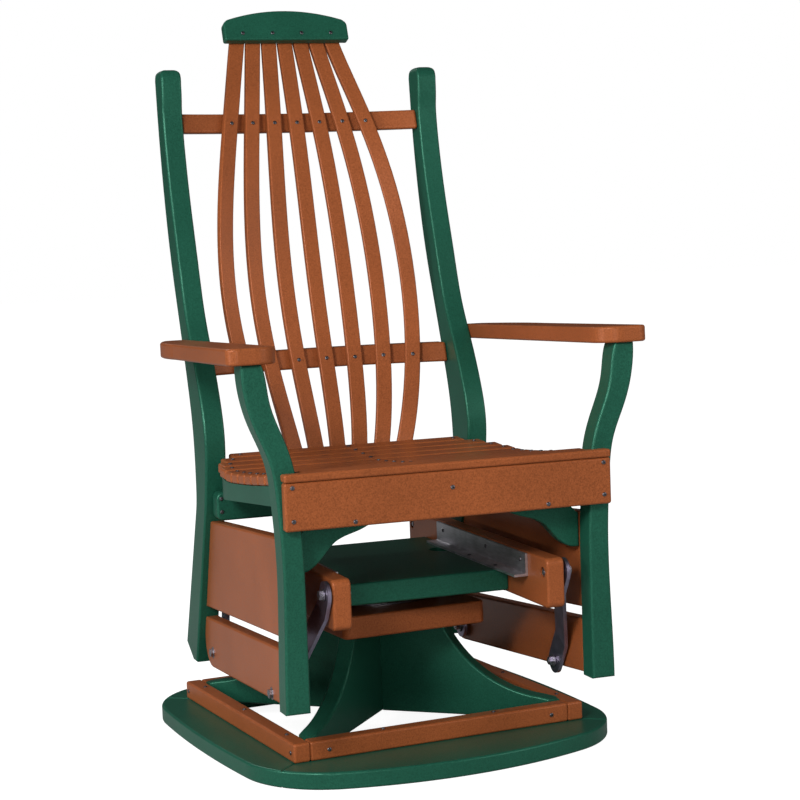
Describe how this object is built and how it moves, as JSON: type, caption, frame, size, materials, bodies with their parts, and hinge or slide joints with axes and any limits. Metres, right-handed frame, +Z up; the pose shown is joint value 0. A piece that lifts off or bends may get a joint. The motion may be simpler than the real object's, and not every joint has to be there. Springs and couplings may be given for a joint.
{
  "type": "glider chair",
  "caption": "Swivel glider chair of plastic lumber: slatted seat, tall fanned slat back and broad armrests, hung on swinging steel arms over a rounded floor ring.",
  "frame": {"origin": "on the floor, on the swivel axis, in the middle of the floor ring", "axes": "+Z up, -Y to the front of the seat, +X to the right in a view from the front"},
  "size_m": [0.6892, 0.8092, 1.2652],
  "materials": {
    "green_board": "dark green plastic lumber, fine brushed grain",
    "cedar_board": "cedar brown plastic lumber, fine brushed grain",
    "arm_steel": "dark stainless bar",
    "aluminium_angle": "mill finish",
    "bushing_plastic": "black nylon",
    "bearing_steel": "zinc plated",
    "fastener_steel": "stainless"
  },
  "bodies": {
    "base": {"base_rail_back": "cedar_board", "base_rail_front": "cedar_board", "base_rail_left": "cedar_board", "base_rail_right": "cedar_board", "base_screws": "fastener_steel", "pedestal_board_a": "green_board", "pedestal_board_b": "green_board", "pedestal_top_board": "cedar_board", "ring_board_back": "green_board", "ring_board_front": "green_board", "ring_board_left": "green_board", "ring_board_right": "green_board", "swivel_lower_race": "bearing_steel", "swivel_bearing_balls": "bearing_steel"},
    "swivel_frame": {"swivel_upper_race": "bearing_steel", "swivel_deck": "green_board", "hanger_left": "cedar_board", "hanger_right": "cedar_board", "angle_left": "aluminium_angle", "angle_right": "aluminium_angle", "frame_screws": "fastener_steel", "upper_pivot_bolts": "fastener_steel"},
    "glide_front_left": {"arm_front_left": "arm_steel", "bushings_front_left": "bushing_plastic"},
    "glide_front_right": {"arm_front_right": "arm_steel", "bushings_front_right": "bushing_plastic"},
    "glide_rear_left": {"arm_rear_left": "arm_steel", "bushings_rear_left": "bushing_plastic"},
    "glide_rear_right": {"arm_rear_right": "arm_steel", "bushings_rear_right": "bushing_plastic"},
    "glide_seat": {"apron": "cedar_board", "armrest_left": "cedar_board", "armrest_right": "cedar_board", "back_slat_1": "cedar_board", "back_slat_2": "cedar_board", "back_slat_3": "cedar_board", "back_slat_4": "cedar_board", "back_slat_5": "cedar_board", "back_slat_6": "cedar_board", "back_slat_7": "cedar_board", "corner_bracket_left": "green_board", "corner_bracket_right": "green_board", "crown_rail": "green_board", "front_leg_left": "green_board", "front_leg_right": "green_board", "lower_back_rail": "cedar_board", "lower_pivot_bolts": "fastener_steel", "lower_side_panel_left": "cedar_board", "lower_side_panel_right": "cedar_board", "rear_cross_rail": "green_board", "rear_post_left": "green_board", "rear_post_right": "green_board", "seat_screws": "fastener_steel", "seat_slats": "cedar_board", "seat_support_centre": "green_board", "seat_support_left": "green_board", "seat_support_right": "green_board", "upper_back_rail": "cedar_board", "upper_side_panel_left": "cedar_board", "upper_side_panel_right": "cedar_board"}
  },
  "joints": [
    {"name": "swivel", "type": "hinge", "parent": "base", "child": "swivel_frame", "pos_m": [0, 0, 0.2435], "axis": [0, 0, 1], "continuous": true},
    {"name": "glide", "type": "hinge", "parent": "swivel_frame", "child": "glide_front_left", "pos_m": [-0.1988, -0.36, 0.307], "axis": [1, 0, 0], "range_deg": [-10, 10]},
    {"name": "front_right_arm", "type": "hinge", "parent": "swivel_frame", "child": "glide_front_right", "pos_m": [0.1988, -0.36, 0.307], "axis": [1, 0, 0], "range_deg": [-10, 10]},
    {"name": "rear_left_arm", "type": "hinge", "parent": "swivel_frame", "child": "glide_rear_left", "pos_m": [-0.1988, 0.24064, 0.30605], "axis": [1, 0, 0], "range_deg": [-9.1, 9.1]},
    {"name": "rear_right_arm", "type": "hinge", "parent": "swivel_frame", "child": "glide_rear_right", "pos_m": [0.1988, 0.24064, 0.30605], "axis": [1, 0, 0], "range_deg": [-9.1, 9.1]},
    {"name": "seat_on_arm", "type": "hinge", "parent": "glide_front_left", "child": "glide_seat", "pos_m": [-0.2297, -0.25, 0.137], "axis": [1, 0, 0], "range_deg": [-14.8, 14.8]}
  ],
  "couplings": [
    {"joint": "front_right_arm", "follows": "glide", "ratio": 1},
    {"joint": "rear_left_arm", "follows": "glide", "ratio": 0.90009},
    {"joint": "rear_right_arm", "follows": "glide", "ratio": 0.90009},
    {"joint": "seat_on_arm", "follows": "glide", "ratio": -1.4721}
  ]
}
